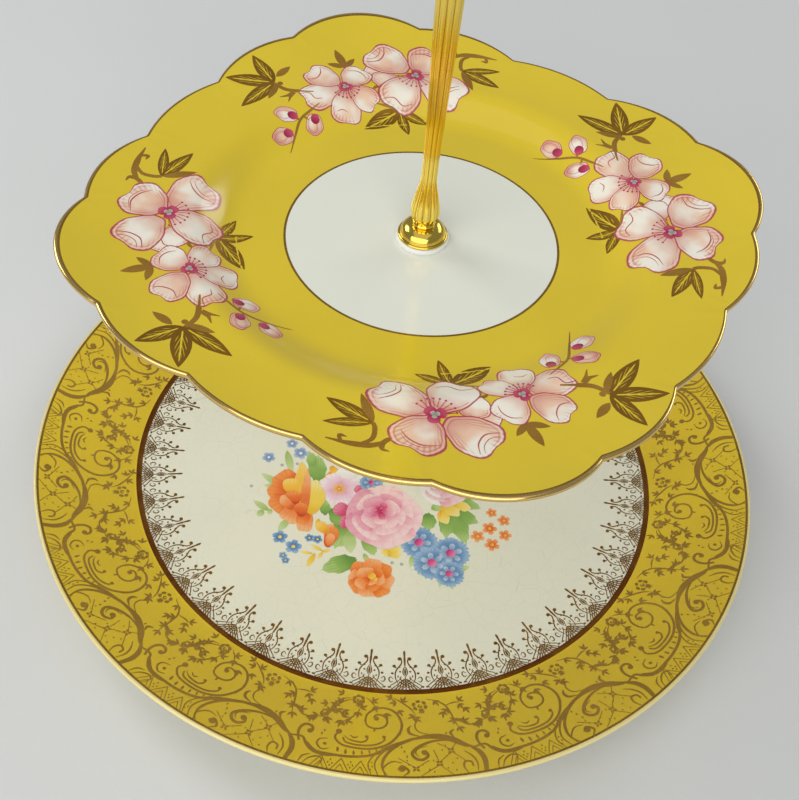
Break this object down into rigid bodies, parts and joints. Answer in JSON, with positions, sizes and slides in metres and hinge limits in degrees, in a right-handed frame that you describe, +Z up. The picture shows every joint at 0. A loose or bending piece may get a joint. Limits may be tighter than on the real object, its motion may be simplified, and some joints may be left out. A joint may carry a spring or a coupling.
{
  "type": "tiered cake stand",
  "caption": "Tiered cake stand: a round dinner plate below and a scalloped square plate above, on a slim fluted gold column with a ring handle.",
  "frame": {"origin": "on the table, at the centre of the lower plate's foot ring", "axes": "+Z up along the column; the upper plate's straight sides face X and Y and its corners lie on the diagonals"},
  "size_m": [0.266, 0.266, 0.2902],
  "materials": {
    "lower_glaze": "gloss",
    "upper_glaze": "gloss",
    "gold_metal": "polished",
    "nylon": "satin",
    "zinc_steel": "satin"
  },
  "bodies": {
    "lower_tier": {"lower_plate": "lower_glaze", "base_seal": "nylon", "lower_seal": "nylon"},
    "column": {"base_screw": "zinc_steel", "base_spring_washer": "zinc_steel", "base_washer": "gold_metal", "lower_cup": "gold_metal", "lower_neck": "gold_metal", "lower_stem": "gold_metal", "support_neck": "gold_metal", "support_cup": "gold_metal", "upper_cup": "gold_metal", "tier_stud": "zinc_steel"},
    "upper_tier": {"upper_plate": "upper_glaze", "support_seal": "nylon", "upper_seal": "nylon"},
    "neck": {"upper_neck": "gold_metal"},
    "handle": {"upper_stem": "gold_metal", "handle_collar": "gold_metal", "handle_stud": "zinc_steel", "handle_bead": "gold_metal", "ring_seat": "gold_metal", "ring_handle": "gold_metal"}
  },
  "joints": [
    {"name": "column_turn", "type": "hinge", "parent": "lower_tier", "child": "column", "pos_m": [0, 0, 0.02], "axis": [0, 0, 1], "continuous": true},
    {"name": "upper_tier_turn", "type": "hinge", "parent": "column", "child": "upper_tier", "pos_m": [0, 0, 0.1254], "axis": [0, 0, 1], "continuous": true},
    {"name": "handle_lift", "type": "slide", "parent": "column", "child": "neck", "axis": [0, 0, 1], "range_m": [0, 0.009]},
    {"name": "handle_screw", "type": "hinge", "parent": "neck", "child": "handle", "pos_m": [0, 0, 0.14], "axis": [0, 0, 1], "range_deg": [0, 4640]}
  ],
  "couplings": [
    {"joint": "handle_screw", "follows": "handle_lift", "rad_per_m": 8976}
  ]
}
